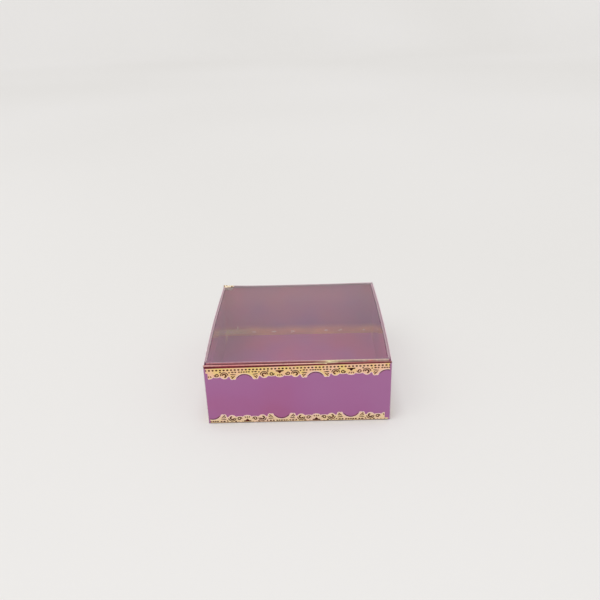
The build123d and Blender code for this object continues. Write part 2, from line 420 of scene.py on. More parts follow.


# PVC that has been cut or creased turns a little white where it is strained, and the ink beside it tints it;
# most of the pale and dark here is painted light and shade: highlights and glints on edges and creases,
# reflection on clear margins, shade in grooves.
# Each finish has its colours from the box's left side to its right, as the light falls on it.
strainedAndLitPvc = {
    "ior": 1.53,
    "roughness": 0.4,
    "cover": 1.0,
    "spot": 1.6,  # width of the mottled spots
    "spotDetail": 2.0,
    "spotRange": (0.3, 0.7),
    "mottle": 0.16,  # how much darker the dark spots are
    "mottleLight": 0.7,  # share of that by which the light spots are lighter
}
# Painted highlight on the front rim's cut edge: salmon pink, a painted glint right of the middle, duller
# beyond
cutEdgeHighlightFinish = {
    **strainedAndLitPvc,
    "hues": [
        (0.0, "#e6aca6"), (0.13, "#df8c8e"), (0.3, "#f0aca0"), (0.5, "#fcc2ba"), (0.64, "#f8d8b0"),
        (0.68, "#f6e6ba"), (0.72, "#c98480"), (1.0, "#b97674"),
    ],
}
# The lid's front edge: a painted highlight along the crease, with a painted glint right of the middle
creaseHighlightFinish = {
    **strainedAndLitPvc,
    "hues": [
        (0.0, "#b47c8e"), (0.3, "#c896a8"), (0.62, "#d8b4aa"), (0.66, "#fff3c4"), (0.7, "#e8d8ae"),
        (1.0, "#dcc3b8"),
    ],
}
# The turned sheet under the lid's front edge: shaded at the left, catching the light at the right
turnFinish = {
    **strainedAndLitPvc,
    "hues": [
        (0.0, "#b4727a"), (0.3, "#a46068"), (0.58, "#9c585e"), (0.645, "#c99a80"), (0.665, "#fff3c0"),
        (0.72, "#d9c39c"), (0.8, "#a98f86"), (0.86, "#c8a79c"), (0.89, "#d9857f"), (0.92, "#cfa79c"),
        (1.0, "#dcbcae"),
    ],
}
# The back crease: gold with painted glints over its left end, then plain, paler towards its right end
backFinish = {
    **strainedAndLitPvc,
    "roughness": 0.35,
    "hues": [
        (0.0, "#fbeed6"), (0.012, "#b08a5c"), (0.025, "#fff6e2"), (0.04, "#a9835a"), (0.055, "#fff2d8"),
        (0.068, "#d9bd9c"), (0.08, "#a88892"), (0.9, "#ac8c96"), (1.0, "#dccad0"),
    ],
}
# Painted highlight on the lid's side creases, pale mauve
sideHighlightFinish = {
    **strainedAndLitPvc,
    "roughness": 0.3,
    "cover": 0.75,
    "mottle": 0.06,
    "hues": [(0.0, "#c8a4b0"), (1.0, "#c29eac")],
}
# Painted shade in the scored groove along the lid's side creases
grooveShadeFinish = {**strainedAndLitPvc, "cover": 0.3, "hues": [(0.0, "#6a4450"), (1.0, "#7a5462")]}
# The side walls' clear margin over the ink, painted pale with the light it reflects
marginReflectionFinish = {
    **strainedAndLitPvc,
    "roughness": 0.3,
    "cover": 0.85,
    "mottle": 0.05,
    "hues": [(0.0, "#e6d6dc"), (0.5, "#e2d2d8"), (1.0, "#ecd9df")],
}
# Painted highlight down the corner folds, the margin's pale at half cover
cornerHighlightFinish = {**marginReflectionFinish, "cover": 0.5}
# Painted highlight on the side walls' cut rims, nearly white
rimHighlightFinish = {**strainedAndLitPvc, "roughness": 0.3, "hues": [(0.0, "#fff6f7"), (1.0, "#f6e2e8")]}
brinkFinish = {**strainedAndLitPvc, "hues": [(0.0, "#b08c9c"), (1.0, "#b48e9e")]}


def makeStrainedAndLit(name, see):
    material, tree, output, place = startMaterial(name)
    across = addNode(tree, "ShaderNodeSeparateXYZ", {"Vector": place}).outputs["X"]
    share = addNode(tree, "ShaderNodeMapRange", {
        "Value": across, "From Min": -box["half"] * mm, "From Max": box["half"] * mm,
    })
    hue = addNode(tree, "ShaderNodeValToRGB", {"Fac": share.outputs["Result"]}, see["hues"])
    spots = addNode(tree, "ShaderNodeTexNoise", {
        "Vector": place, "Scale": 1 / (see["spot"] * mm), "Detail": see["spotDetail"],
    })
    shade = addNode(tree, "ShaderNodeMapRange", {
        "Value": spots.outputs["Fac"], "From Min": see["spotRange"][0], "From Max": see["spotRange"][1],
        "To Min": 1 - see["mottle"], "To Max": 1 + see["mottle"] * see["mottleLight"],
    })
    mixed = addNode(tree, "ShaderNodeVectorMath", {
        0: hue.outputs["Color"], 3: shade.outputs["Result"],
    }, operation="SCALE")
    surface = addNode(tree, "ShaderNodeBsdfPrincipled", {
        "Base Color": mixed.outputs[0], "Roughness": see["roughness"], "IOR": see["ior"],
        "Alpha": see["cover"],
    })
    tree.links.new(surface.outputs[0], output.inputs["Surface"])
    return material


# Clear box glue, dried in a smeared line: yellowish, half see-through, with small bubbles
driedGlue = {
    "hues": [(0.2, "#ece2d4"), (0.7, "#d8c8b4")],
    "cover": 0.14,
    "bubble": 1.2,
    "roughness": 0.4,
    "ior": 1.47,
}


def makeDriedGlue(name, see):
    material, tree, output, place = startMaterial(name)
    bubbles = addNode(tree, "ShaderNodeTexVoronoi", {"Vector": place, "Scale": 1 / (see["bubble"] * mm)})
    hue = addNode(tree, "ShaderNodeValToRGB", {"Fac": bubbles.outputs["Distance"]}, see["hues"])
    surface = addNode(tree, "ShaderNodeBsdfPrincipled", {
        "Base Color": hue.outputs["Color"], "Roughness": see["roughness"], "IOR": see["ior"],
        "Alpha": see["cover"],
    })
    tree.links.new(surface.outputs[0], output.inputs["Surface"])
    return material


clearPvc = makeClearSheet("clearCalenderedPvc", clearSheet)
purplePrint = makePurpleInk("purpleScreenInk", purpleInk)
purpleInside = makeInkInside("purpleInkSeenThroughPvc", inkInside)
dullGoldAndGlints = makeCoat("goldFoilBackAndGlints", foilBackGlints)
crackedGold = makeCoat("crackedGoldFoil", glintedFoil)
purpleFloor = makePurpleInk("purpleInkedPvc", floorInk)
wineRedCoat = makeCoat("wineRedSatinCoat", wineCoat)
gold = makeGoldFoil("goldHotStampedFoil", goldFoil)
goldEdgeHighlight = makeGoldFoil("goldFoilEdgeHighlight", edgeHighlightFoil)
brownLine = makeCoat("brownKeyLineInk", keyLine)
cutEdgeHighlight = makeStrainedAndLit("strainedPvcCutEdgeHighlight", cutEdgeHighlightFinish)
creaseHighlight = makeStrainedAndLit("strainedPvcCreaseHighlight", creaseHighlightFinish)
turnCrease = makeStrainedAndLit("strainedPvcTurn", turnFinish)
backPale = makeStrainedAndLit("strainedPvcBackCreaseGlints", backFinish)
rimHighlight = makeStrainedAndLit("strainedPvcRimHighlight", rimHighlightFinish)
brink = makeStrainedAndLit("inkBrinkPvc", brinkFinish)
cornerHighlight = makeStrainedAndLit("strainedPvcCornerHighlight", cornerHighlightFinish)
marginReflection = makeStrainedAndLit("pvcMarginReflection", marginReflectionFinish)
sideCreaseHighlight = makeStrainedAndLit("strainedPvcSideHighlight", sideHighlightFinish)
grooveShade = makeStrainedAndLit("scoredPvcGrooveShade", grooveShadeFinish)
glue = makeDriedGlue("driedBoxGlue", driedGlue)
print("materials made")

weldReach = 1e-8  # metres within which corners of a mesh join
cutReach = 1e-4  # millimetres within which corners of outlines join


def finishPiece(name, mesh, material, body, smooth=False, second=None):
    # Turns a bmesh into a piece that rides on its body; second is the material of its back
    bmesh.ops.remove_doubles(mesh, verts=mesh.verts, dist=weldReach)
    bmesh.ops.recalc_face_normals(mesh, faces=mesh.faces)
    data = bpy.data.meshes.new(name)
    mesh.to_mesh(data)
    mesh.free()
    for face in data.polygons:
        face.use_smooth = smooth
    data.materials.append(material)
    if second:
        data.materials.append(second)
    piece = bpy.data.objects.new(name, data)
    bpy.context.scene.collection.objects.link(piece)
    if body:
        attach(piece, body)
    return piece


# How a point on each wall's outer face is placed: along it, up from the ground and out from the face
def wallPoint(wall, along, up, out):
    inward = 0.0
    if up < box["fold"]:  # the ink and foil run on round the pressed fold
        turn = (box["fold"] - up) / box["fold"]
        reach = box["fold"] + out
        inward = box["fold"] - reach * math.cos(turn)
        up = max(box["fold"] - reach * math.sin(turn), box["footGap"] - out)
        out = 0.0
    face = box["half"] + out - inward
    if wall in ("left", "right"):  # the side walls bow out a little at their open upper edge
        middle = max(1 - (along / box["bowHalf"]) ** 2, 0.0)
        face += box["bow"] * middle * (max(up, 0.0) / box["height"]) ** 2
    return {
        "front": Vector((along, -face, up)), "back": Vector((along, face, up)),
        "left": Vector((-face, along, up)), "right": Vector((face, along, up)),
    }[wall] * mm


# The same for a glued tab: along it from the corner fold, where below zero it turns round the fold
def tabPoint(row, side, along, up, out):
    wayX = -1 if side == "left" else 1
    wayY = -1 if row == "front" else 1
    foldX = box["half"] - box["fold"]
    foldY = box["tabFace"] - box["fold"]
    reach = box["fold"] + out
    if along < 0:
        turn = -along / box["fold"]
        x = foldX + reach * math.sin(turn)
        y = foldY + reach * math.cos(turn)
    else:
        x = foldX - along
        y = foldY + reach
    return Vector((wayX * x, wayY * y, up)) * mm


def ellipse(x, depth, wide, tall, count):
    turns = [2 * math.pi * i / count for i in range(count)]
    return [(x + wide * math.cos(t), depth + tall * math.sin(t)) for t in turns]


def block(x0, x1, depth0, depth1):
    return [(x0, depth0), (x1, depth0), (x1, depth1), (x0, depth1)]


ribbonEnd = 0.55  # how much of its width a drawn line keeps at its ends


def ribbon(line, width):
    # A closed outline of that width round an open line, narrow at both ends
    left, right = [], []
    for i, (x, y) in enumerate(line):
        ahead, behind = line[min(i + 1, len(line) - 1)], line[max(i - 1, 0)]
        dx, dy = ahead[0] - behind[0], ahead[1] - behind[1]
        size = math.hypot(dx, dy)
        half = width / 2 * (ribbonEnd if i in (0, len(line) - 1) else 1)
        left.append((x - dy / size * half, y + dx / size * half))
        right.append((x + dy / size * half, y - dx / size * half))
    return left + right[::-1]


def arc(x, depth, wide, tall, angle0, angle1, count, shrink=1.0):
    # Points along part of an ellipse, which may wind inward as it goes
    line = []
    for i in range(count + 1):
        share = i / count
        angle = math.radians(angle0 + (angle1 - angle0) * share)
        size = 1 + (shrink - 1) * share
        line.append((x + wide * size * math.cos(angle), depth + tall * size * math.sin(angle)))
    return line


def steps(start, end, count):
    return [start + (end - start) * i / count for i in range(count + 1)]


def signedArea(outline):
    return sum(a[0] * b[1] - b[0] * a[1] for a, b in zip(outline, outline[1:] + outline[:1])) / 2


def cutSheet(groups, keep):
    # In a group, later outlines lie over earlier ones; keep says which mix of groups leaves sheet
    points, outlines, owners = [], [], []
    for number, group in enumerate(groups):
        for outline, stays in group:
            if signedArea(outline) < 0:
                outline = outline[::-1]
            outlines.append(list(range(len(points), len(points) + len(outline))))
            owners.append((number, stays))
            points += [Vector(p) for p in outline]
    corners, _, triangles, _, _, sources = delaunay_2d_cdt(points, [], outlines, 1, cutReach)
    kept = []
    for triangle, inside in zip(triangles, sources):
        states = [False] * len(groups)
        for source in sorted(inside):
            number, stays = owners[source]
            states[number] = stays
        if keep(*states):
            kept.append(triangle)
    return corners, kept


def layer(name, groups, keep, place, heights, material, inside=None):
    # A closed thin layer between two heights over the sheet's face; inside is its back's material
    corners, triangles = cutSheet(groups, keep)
    mesh = bmesh.new()
    used = sorted({i for t in triangles for i in t})
    under = {i: mesh.verts.new(place(corners[i].x, corners[i].y, heights[0])) for i in used}
    over = {i: mesh.verts.new(place(corners[i].x, corners[i].y, heights[1])) for i in used}
    directed = set()
    for a, b, c in triangles:
        mesh.faces.new((over[a], over[b], over[c]))
        mesh.faces.new((under[c], under[b], under[a])).material_index = 1 if inside else 0
        directed |= {(a, b), (b, c), (c, a)}
    for a, b in sorted(directed):
        if (b, a) not in directed:
            mesh.faces.new((under[a], under[b], over[b], over[a]))
    return finishPiece(name, mesh, material, "tray", second=inside)


# The lace repeats: a bay with an arch, and on each side a leaf, a big scroll, a small curl and half a fan.
# Places are measured from the arch, the leaf or the fan, and depths from the band's straight edge.
lace = {
    "repeat": 38.8,
    "half": 50.0,  # where a wall's print stops
    "reach": 75.0,  # from the wall's middle to the last arch that is drawn, and cut off
    "body": 5.95,
    "bodyHalf": 70.0,
    "bodyFoot": -0.4,
    "edge": 0.36,  # width of the pale edge, a painted highlight
    "open": 0.14,  # how much wider the openings are drawn than the die's
    "line": 0.22,  # how far the brown key line reaches from the die's openings
    "archTop": 3.95,
    "archWide": 4.75,
    "archTall": 4.3,
    "archPoints": 32,
    "leaf": 6.1,
    "leafWide": 1.95,
    "leafTip": 7.6,
    "leafFoot": 4.2,
    "leafOuter": (0.95, 5.6),  # share of the half width, and depth
    "leafInner": (-0.98, 6.0),
    "leafTop": ((0.78, 0.5), (0.45, 0.08), (0.1, 0.3), (-0.3, 0.0), (-0.72, 0.35)),  # share, below the tip
    "leafSpots": (  # place, depth and half sizes
        (-1.4, 2.7, 0.44, 0.28), (0.2, 2.65, 0.6, 0.3), (2.0, 2.9, 0.34, 0.26),
    ),
    "leafVeins": (  # points of each line, and its width
        (((-1.5, 4.3), (0.0, 4.2), (1.4, 4.0)), 0.36),
        (((-1.0, 5.1), (0.1, 5.9), (0.8, 6.9)), 0.4),
        (((0.3, 5.0), (0.85, 5.4), (1.2, 5.9)), 0.34),
    ),
    "scroll": 10.9,
    "scrollDepth": 4.6,
    "scrollRadius": 2.35,
    "scrollPoints": 28,
    "scrollTop": {"wide": 2.0, "tall": 1.8, "back": 20, "sweep": 175, "points": 20, "stroke": 0.24},
    "scrollHook": {
        "wide": 1.2, "tall": 1.1, "lower": 0.25, "sweep": 260, "shrink": 0.75, "points": 20, "stroke": 0.56,
    },
    "curl": 15.0,
    "curlDepth": 4.3,
    "curlRadius": 1.75,
    "curlPoints": 20,
    "curlLine": {"wide": 1.3, "tall": 1.15, "sweep": 430, "shrink": 0.3, "points": 26, "stroke": 0.3},
    "lineStart": {-1: 190, 1: -10},  # angle at which the scroll's and the curl's lines start, on each side
    "lineTurn": {-1: 1, 1: -1},
    "curlSpot": (12.95, 2.55, 0.42, 0.28),
    # Notches of the outline between leaf, scroll, curl and fan: place, depth, half sizes, points,
    # and by how much the growth of the outline is divided in them
    "notches": ((8.5, 6.35, 0.75, 0.8, 10, 1), (13.35, 6.2, 0.5, 0.55, 8, 2), (16.9, 6.25, 0.5, 0.6, 8, 2)),
    "fanWide": 2.3,
    "fanTip": 6.75,
    "fanFoot": 4.0,
    "fanShoulder": 5.9,
    "fanTop": ((0.7, 0.25), (0.35, 0.1), (0.0, -0.1), (-0.35, 0.1), (-0.7, 0.25)),
    "fanRib": ((0.8, 4.75), (1.1, 5.3), (1.45, 5.8)),
    "fanStroke": 0.32,
    "fanLast": 48.0,  # at a wall's end the print stops before the fan's triangle
    "triangle": {"top": 2.4, "tip": 4.15, "half": 2.1, "shoulder": 1.15, "draw": 0.9, "bar": (0.62, 0.7)},
    "dotPitch": 2.0,
    "dotDepth": 1.25,
    "dotWide": 0.52,
    "dotTall": 0.38,
    "dotCount": 27,  # each way from the middle
    "spotPoints": 10,
    "dashes": (-2.7, -1.35, 0.0, 1.35, 2.7),
    "dash": (2.7, 0.44, 0.26),  # depth and half sizes
    "bayGap": 0.27,  # from the arch to the middle of the dark line along it
    "bayLine": 0.5,
    "bayAngles": (208, 332),
    "bayPoints": 18,
    "footHalf": 60.0,
    "footDots": (2.38, 0.38, 0.14, 8),  # depth, half sizes and points of the dots along a lower band's foot
    "footShadeLine": (1.2, 1.96),  # depths of the brown line along a lower band's foot, painted shade of the fold's underside
}
cutter = {"far": 160.0, "low": -9.0, "bandTop": 12.0, "tabTop": 40.0}  # how far outlines that only cut reach
dotPlaces = [i * lace["dotPitch"] for i in range(-lace["dotCount"], lace["dotCount"] + 1)]


def laceBody(arches, grow):
    # The filled silhouette of a band, made larger or smaller all round by grow
    foot = lace["bodyFoot"] if grow >= 0 else -grow
    shapes = [(block(-lace["bodyHalf"], lace["bodyHalf"], foot, lace["body"] + grow), True)]
    for arch in arches:
        for side in (-1, 1):
            scroll, curl, leaf = (arch + side * lace[k] for k in ("scroll", "curl", "leaf"))
            for place, depth, wide, tall, count, share in lace["notches"]:
                notch = ellipse(arch + side * place, depth, wide - grow / share, tall - grow / share, count)
                shapes.append((notch, False))
            for middle, part in ((scroll, "scroll"), (curl, "curl")):
                radius = lace[f"{part}Radius"] + grow
                circle = ellipse(middle, lace[f"{part}Depth"], radius, radius, lace[f"{part}Points"])
                shapes.append((circle, True))
            tip, wide = lace["leafTip"] + grow, lace["leafWide"] + grow
            outline = [(leaf - wide, lace["leafFoot"]), (leaf + wide, lace["leafFoot"])]
            outline.append((leaf + wide * lace["leafOuter"][0], lace["leafOuter"][1]))
            outline += [(leaf + wide * share, tip - below) for share, below in lace["leafTop"]]
            outline.append((leaf + wide * lace["leafInner"][0], lace["leafInner"][1]))
            shapes.append((outline, True))
        fan = arch + lace["repeat"] / 2
        tip, wide = lace["fanTip"] + grow, lace["fanWide"] + grow
        outline = [(fan - wide, lace["fanFoot"]), (fan + wide, lace["fanFoot"])]
        outline.append((fan + wide, lace["fanShoulder"]))
        outline += [(fan + wide * share, tip - below) for share, below in lace["fanTop"]]
        outline.append((fan - wide, lace["fanShoulder"]))
        shapes.append((outline, True))
        wide, tall = lace["archWide"] - grow, lace["archTall"] - grow
        bay = ellipse(arch, lace["archTop"] + lace["archTall"], wide, tall, lace["archPoints"])
        shapes.append((bay, False))
    return shapes


def laceOpenings(arches, grow):
    # The dots, dashes, scroll lines and eyes that are left open in the foil
    shapes = []

    def spot(x, depth, wide, tall):
        shapes.append((ellipse(x, depth, wide + grow, tall + grow, lace["spotPoints"]), True))

    def stroke(line, width):
        shapes.append((ribbon(line, width + 2 * grow), True))

    for x in dotPlaces:
        spot(x, lace["dotDepth"], lace["dotWide"], lace["dotTall"])
    for arch in arches:
        for place in lace["dashes"]:
            spot(arch + place, *lace["dash"])
        for side in (-1, 1):
            scroll, curl, leaf = (arch + side * lace[k] for k in ("scroll", "curl", "leaf"))
            # The leaf: bars across its foot and its middle, veins in its blade
            for x, depth, wide, tall in lace["leafSpots"]:
                spot(leaf + side * x, depth, wide, tall)
            for line, width in lace["leafVeins"]:
                stroke([(leaf + side * x, depth) for x, depth in line], width)
            # The scroll: a fine line over its top, and a hook wound round its eye
            start, turn = lace["lineStart"][side], lace["lineTurn"][side]
            top, hook, wound = lace["scrollTop"], lace["scrollHook"], lace["curlLine"]
            stroke(arc(scroll, lace["scrollDepth"], top["wide"], top["tall"], start - turn * top["back"],
                       start + turn * top["sweep"], top["points"]), top["stroke"])
            stroke(arc(scroll, lace["scrollDepth"] + hook["lower"], hook["wide"], hook["tall"], start,
                       start + turn * hook["sweep"], hook["points"], hook["shrink"]), hook["stroke"])
            # The curl: a small spiral that winds the other way
            stroke(arc(curl, lace["curlDepth"], wound["wide"], wound["tall"], start,
                       start - turn * wound["sweep"], wound["points"], wound["shrink"]), wound["stroke"])
            spot(arch + side * lace["curlSpot"][0], *lace["curlSpot"][1:])
        # The fan: three ribs under a barred triangle
        fan = arch + lace["repeat"] / 2
        for spread in (-1, 0, 1):
            stroke([(fan + spread * x, depth) for x, depth in lace["fanRib"]], lace["fanStroke"])
        if abs(fan) > lace["fanLast"]:
            continue
        barred = lace["triangle"]
        top, tip, half = barred["top"] - grow, barred["tip"] + grow, barred["half"] + grow
        outer, inner = (top + depth + grow for depth in barred["bar"])
        shapes.append(([
            (fan - half, top), (fan + half, top), (fan + half * barred["draw"], outer),
            (fan + barred["shoulder"], inner), (fan, tip), (fan - barred["shoulder"], inner),
            (fan - half * barred["draw"], outer),
        ], True))
    return shapes


def foilStays(core, opened, cut):
    return core and not opened and not cut


def edgeStays(body, core, opened, cut):
    return body and not core and not opened and not cut


def keyStays(body, opened, bay, cut):
    return (body and opened or bay) and not cut


# Where each band lies: the place of one arch from the wall's middle, and the height of the band's
# straight edge at both ends. A fleck is a painted glint of the foil's back: place, height, half sizes and
# points.
laceBands = {
    "front": {
        "upper": (9.7, 36.05, 37.25),
        "lower": (-9.7, -1.4, -1.4),
        # The print starts and stops part way into a fan here
        "fanCuts": {"upper": (-cutter["far"], -49.0), "lower": (48.0, cutter["far"])},
    },
    "back": {
        "upper": (9.7, 36.1, 36.1),
        "lower": (-10.6, -1.4, -1.4),
        "inkTop": 37.95,
        "flecks": (
            (-32.0, 2.9, 1.5, 0.7, 10), (-18.0, 2.9, 1.9, 0.6, 10), (-4.6, 2.8, 1.6, 0.6, 10),
            (-5.4, 1.8, 0.7, 0.3, 8), (18.7, 3.0, 1.3, 0.75, 10), (29.3, 3.2, 0.9, 0.6, 8),
            (27.9, 2.6, 0.7, 0.4, 8), (46.8, 3.4, 1.4, 0.5, 10), (45.6, 5.2, 0.5, 0.8, 8),
        ),
        "cracked": (  # outline of the gold with painted glints at the wall's left end: place and height
            (-50.6, 38.0), (-50.6, 35.9), (-49.6, 35.2), (-48.4, 35.7), (-47.2, 35.1), (-45.6, 36.0),
            (-44.2, 36.7), (-43.4, 38.0),
        ),
    },
    "left": {"upper": (-9.7, 36.1, 36.1), "lower": (9.7, -1.4, -1.4)},
    "right": {"upper": (9.7, 36.1, 36.1), "lower": (-9.7, -1.4, -1.4)},
}
fanCutDepth = 3.0  # the dots run on past such a cut, and what lies deeper than this stops
printHeights = {"ink": (0.006, 0.02), "key": (0.024, 0.032), "foil": (0.036, 0.05)}  # over the sheet's face
footRows = (1.45, 1.6, 1.75, 1.9)  # depths of a lower band at which it bends round the pressed fold
columnWidth = 5  # a side wall's print is cut into columns and rows so that it can bow
columnPlaces = range(-50, 50, columnWidth)


def archPlaces(first):
    places = [first + lace["repeat"] * turn for turn in range(-3, 4)]
    return [place for place in places if abs(place) < lace["reach"]]


def laceBand(name, arches, lower, cut, place, replaced=None):
    # The foil of one band, its pale edge with a painted highlight, and the key line under its openings
    depth = lace["body"] - lace["edge"]
    bends = [(block(a, a + columnWidth, 0.0, depth), True) for a in columnPlaces]
    foot = []
    if lower:  # a line of painted shade where the pressed fold turns under, and a row of dots along the foot
        half = lace["footHalf"]
        bends += [(block(-half, half, a, b), True) for a, b in zip(footRows, footRows[1:])]
        foot.append((block(-half, half, *lace["footShadeLine"]), True))
        foot += [(ellipse(x, *lace["footDots"]), True) for x in dotPlaces]
    edgeDepth = footRows[0] if lower else 0
    cut = cut + [(block(-cutter["far"], cutter["far"], cutter["low"], edgeDepth), True)]
    body = bends + laceBody(arches, 0.0)
    core = bends + laceBody(arches, -lace["edge"])
    opened = laceOpenings(arches, lace["open"]) + foot
    drawn = laceOpenings(arches, lace["line"]) + foot
    bays = []  # a dark line along the top of each arch, just outside the foil
    for arch in arches:
        wide, tall = lace["archWide"] - lace["bayGap"], lace["archTall"] - lace["bayGap"]
        depth = lace["archTop"] + lace["archTall"]
        bay = arc(arch, depth, wide, tall, *lace["bayAngles"], lace["bayPoints"])
        bays.append((ribbon(bay, lace["bayLine"]), True))
    piece = layer(f"lace{name}", [core, opened, cut], foilStays, place, printHeights["foil"],
                  gold, dullGoldAndGlints)
    if replaced:
        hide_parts(replaced)
    layer(f"laceEdgeHighlight{name}", [body, core, opened, cut], edgeStays, place, printHeights["foil"],
          goldEdgeHighlight, dullGoldAndGlints)
    layer(f"keyLine{name}", [body, drawn, bays, cut], keyStays, place, printHeights["key"],
          brownLine)


for wall, bands in laceBands.items():
    for row in ("upper", "lower"):
        first, startHeight, endHeight = bands[row]

        def onWall(along, depth, out):
            height = startHeight + (endHeight - startHeight) * (along + lace["half"]) / (2 * lace["half"])
            return wallPoint(wall, along, height + (-depth if row == "upper" else depth), out)

        ends = [
            (block(-cutter["far"], -lace["half"], cutter["low"], cutter["bandTop"]), True),
            (block(lace["half"], cutter["far"], cutter["low"], cutter["bandTop"]), True),
        ]
        if "fanCuts" in bands:
            ends.append((block(*bands["fanCuts"][row], fanCutDepth, cutter["bandTop"]), True))
        laceBand(f"{wall.capitalize()}{row.capitalize()}", archPlaces(first), row == "lower", ends,
                 onWall, f"lace_{wall}_{row}")
print("lace made")


def inkStays(sheet, dappled):
    return sheet and not dappled


# The ink ends a little under the rim, level with the lace's straight edge
inkPanel = {
    "foot": -0.28,
    "rows": (-0.28, -0.12, 0.05, 0.2, 0.35, 0.5),  # it bends round the pressed fold
    "sideHalf": 50.0,
    "bowRows": range(4, 32, 8),
    "bowRow": 4,
    "rimGap": 0.02,  # between the purple and the wine red
}

for wall, bands in laceBands.items():
    half = box["half"] if wall in ("front", "back") else inkPanel["sideHalf"]
    _, startHeight, endHeight = bands["upper"]
    if "inkTop" in bands:  # over the back crease's foot the ink runs on to the crease
        startHeight = endHeight = bands["inkTop"]
    low = inkPanel["foot"]
    panel = [([(-half, low), (half, low), (half, endHeight), (-half, startHeight)], True)]
    panel += [(block(-half, half, a, b), True) for a, b in zip(inkPanel["rows"], inkPanel["rows"][1:])]
    if wall in ("left", "right"):
        panel += [(block(a, a + columnWidth, box["fold"], endHeight), True) for a in columnPlaces]
        panel += [(block(-half, half, a, a + inkPanel["bowRow"]), True) for a in inkPanel["bowRows"]]
    onFace = partial(wallPoint, wall)
    wallName = wall.capitalize()
    # Spots of painted glint, where the foil's pale back shows through the ink
    dappled = [(ellipse(*fleck), True) for fleck in bands.get("flecks", ())]
    cracked = [(list(bands["cracked"]), True)] if "cracked" in bands else []
    layer(f"ink{wallName}", [panel, dappled + cracked], inkStays, onFace, printHeights["ink"],
          purplePrint, purpleInside)
    if dappled:
        layer(f"flecks{wallName}", [dappled], bool, onFace, printHeights["ink"],
              purplePrint, dullGoldAndGlints)
        layer(f"cracked{wallName}", [cracked], bool, onFace, printHeights["ink"],
              purplePrint, crackedGold)
    # A dark wine red band over the front rim, from the lace's top to the rim
    if wall == "front":
        start, end = startHeight + inkPanel["rimGap"], endHeight + inkPanel["rimGap"]
        rim = [(-half, start), (half, end), (half, box["height"]), (-half, box["height"])]
        layer("wineRedFrontRim", [[(rim, True)]], bool, onFace, printHeights["ink"],
              wineRedCoat)

# The tabs carry the side walls' print on round the corner, inside the front and back walls
tabs = {
    "width": 13.0,
    "foot": 1.2,
    "head": 36.8,
    "taper": 2.5,
    "corner": 1.2,
    "cornerCut": 0.3,  # where the middle of a cut corner lies: this share of it from both edges
    "cornerSlope": 0.19,  # how steep the sloping edge is
    "laceGap": 0.01,  # keeps the lace inside the ink's upper edge
    "foldColumns": (-0.785, -0.52, -0.26, 0),  # places round the corner fold at which the ink bends
    "flecks": {
        "TabBackLeft": (
            (7.3, 6.6, 0.35, 1.4, 10), (6.2, 5.0, 0.6, 0.55, 8), (2.6, 3.4, 1.6, 0.6, 12),
            (4.9, 3.6, 0.6, 0.4, 8), (0.9, 4.6, 0.4, 0.8, 8),
        ),
        "TabBackRight": ((5.0, 3.0, 0.9, 0.6, 8),),
    },
}


def tabOutline(top):
    start, end = tabs["foldColumns"][0], tabs["width"]
    low, high = tabs["foot"] + tabs["taper"], tabs["head"] - tabs["taper"]
    meet = (tabs["head"] - top) / tabs["taper"] * end  # where the ink's edge meets the tab's sloping edge
    soft = tabs["corner"]
    slope, cut = soft * tabs["cornerSlope"], soft * tabs["cornerCut"]
    return [
        (start, tabs["foot"]), (0, tabs["foot"]), (end - soft, low - slope), (end - cut, low + cut),
        (end, low + soft), (end, high - soft), (end - cut, high - cut), (end - soft, high + slope),
        (meet, top), (start, top),
    ]


# A pressed line of glue with uneven edges; each line has its own phase
glueLine = {
    "low": 6.2,
    "high": 31.8,
    "near": 2.2,
    "far": 9.8,
    "points": 26,
    "nearWaves": (0.25, 0.9, 0.15, 2.3),  # size and rate of a long and a short wave
    "farWaves": (0.3, 0.7, 0.2, 1.9),
    "phase": 1.7,
    "heights": (0.055, 0.095),  # in the gap between the tab and its wall
}


def glueOutline(phase):
    up = steps(glueLine["low"], glueLine["high"], glueLine["points"])
    long, longRate, short, shortRate = glueLine["nearWaves"]
    left = [
        (glueLine["near"] + long * math.sin(longRate * z + phase) + short * math.sin(shortRate * z), z)
        for z in up
    ]
    long, longRate, short, shortRate = glueLine["farWaves"]
    right = [
        (glueLine["far"] + long * math.sin(longRate * z + 2 * phase) - short * math.cos(shortRate * z), z)
        for z in up
    ]
    return left + right[::-1]


for row in ("front", "back"):
    for side in ("left", "right"):
        way = 1 if row == "back" else -1
        onTab = partial(tabPoint, row, side)
        smear = [(glueOutline(way * glueLine["phase"] + len(side)), True)]
        piece = layer(f"glue{row.capitalize()}{side.capitalize()}", [smear], bool, onTab,
                      glueLine["heights"], glue)
        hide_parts(f"glue_strip_{row}_{side}")
        top = laceBands[side]["upper"][1]
        tabName = f"Tab{row.capitalize()}{side.capitalize()}"
        panel = [(tabOutline(top), True)]
        panel += [(block(a, b, tabs["foot"], top), True)
                  for a, b in zip(tabs["foldColumns"], tabs["foldColumns"][1:])]
        # Spots of painted glint, where the foil's pale back shows through the ink
        dappled = [(ellipse(*fleck), True) for fleck in tabs["flecks"].get(tabName, ())]
        layer(f"ink{tabName}", [panel, dappled], inkStays, onTab, printHeights["ink"],
              purplePrint, purpleInside)
        if dappled:
            layer(f"flecks{tabName}", [dappled], bool, onTab, printHeights["ink"],
                  purplePrint, dullGoldAndGlints)
        for band in ("upper", "lower"):
            first, edge, _ = laceBands[side][band]
            arches = sorted(way * place - inkPanel["sideHalf"] for place in archPlaces(first))

            def onTabBand(along, depth, out):
                return tabPoint(row, side, along, edge + (-depth if band == "upper" else depth), out)

            limits = [(block(-cutter["far"], cutter["far"], cutter["low"], cutter["tabTop"]), True)]
            onInk = tabOutline(top - tabs["laceGap"])
            limits.append(([(x, edge - up if band == "upper" else up - edge) for x, up in onInk], False))
            laceBand(f"{tabName}{band.capitalize()}", arches, False, limits, onTabBand)
print("ink and tabs made")


